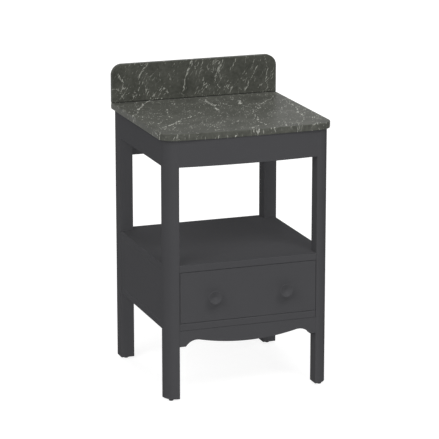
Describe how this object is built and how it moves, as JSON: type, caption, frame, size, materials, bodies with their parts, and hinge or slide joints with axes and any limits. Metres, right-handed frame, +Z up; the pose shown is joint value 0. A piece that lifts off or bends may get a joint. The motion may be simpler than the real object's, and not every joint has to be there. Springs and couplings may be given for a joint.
{
  "type": "vanity unit",
  "caption": "Painted washstand vanity on legs with a bowed stone top and splashback, an open shelf, a scalloped apron and a drawer that slides out on runners.",
  "frame": {"origin": "on the floor, under the middle of the overall width and depth", "axes": "+Z up, -Y the front with the drawer, +X the right-hand side seen from the front"},
  "size_m": [0.519, 0.5034, 0.9035],
  "materials": {
    "painted_wood": "satin sprayed paint, dark grey",
    "stone": "polished dark grey marble with pale veins",
    "drawer_wood": "clear-lacquered birch plywood",
    "block_wood": "planed softwood",
    "zinc_steel": "zinc-plated",
    "nylon": "moulded, matt"
  },
  "bodies": {
    "frame": {"apron": "painted_wood", "apron_block_left": "block_wood", "apron_block_right": "block_wood", "back_panel": "painted_wood", "back_rail": "painted_wood", "bottom_board": "painted_wood", "corner_block_back_left": "block_wood", "corner_block_back_right": "block_wood", "corner_block_front_left": "block_wood", "corner_block_front_right": "block_wood", "foot_glides": "nylon", "frieze_rail": "painted_wood", "leg_back_left": "painted_wood", "leg_back_right": "painted_wood", "leg_front_left": "painted_wood", "leg_front_right": "painted_wood", "runner_fixed_left": "zinc_steel", "runner_fixed_right": "zinc_steel", "runner_packer_left": "block_wood", "runner_packer_right": "block_wood", "runner_screws_left": "zinc_steel", "runner_screws_right": "zinc_steel", "shelf": "painted_wood", "side_panel_left": "painted_wood", "side_panel_right": "painted_wood", "side_rail_left": "painted_wood", "side_rail_right": "painted_wood", "stone_splashback": "stone", "stone_top": "stone"},
    "runner_middle_left": {"runner_middle_left": "zinc_steel"},
    "runner_middle_right": {"runner_middle_right": "zinc_steel"},
    "drawer": {"drawer_box_back": "drawer_wood", "drawer_box_bottom": "drawer_wood", "drawer_box_front": "drawer_wood", "drawer_box_side_left": "drawer_wood", "drawer_box_side_right": "drawer_wood", "drawer_front": "painted_wood", "drawer_runner_screws_left": "zinc_steel", "drawer_runner_screws_right": "zinc_steel", "front_screws": "zinc_steel", "knob_screws": "zinc_steel", "knobs": "painted_wood", "runner_drawer_left": "zinc_steel", "runner_drawer_right": "zinc_steel"}
  },
  "joints": [
    {"name": "drawer_slide", "type": "slide", "parent": "frame", "child": "drawer", "axis": [0, -1, 0], "range_m": [0, 0.38]},
    {"name": "runner_slide_left", "type": "slide", "parent": "frame", "child": "runner_middle_left", "axis": [0, -1, 0], "range_m": [0, 0.19]},
    {"name": "runner_slide_right", "type": "slide", "parent": "frame", "child": "runner_middle_right", "axis": [0, -1, 0], "range_m": [0, 0.19]}
  ],
  "couplings": [
    {"joint": "runner_slide_left", "follows": "drawer_slide", "ratio": 0.5},
    {"joint": "runner_slide_right", "follows": "drawer_slide", "ratio": 0.5}
  ]
}
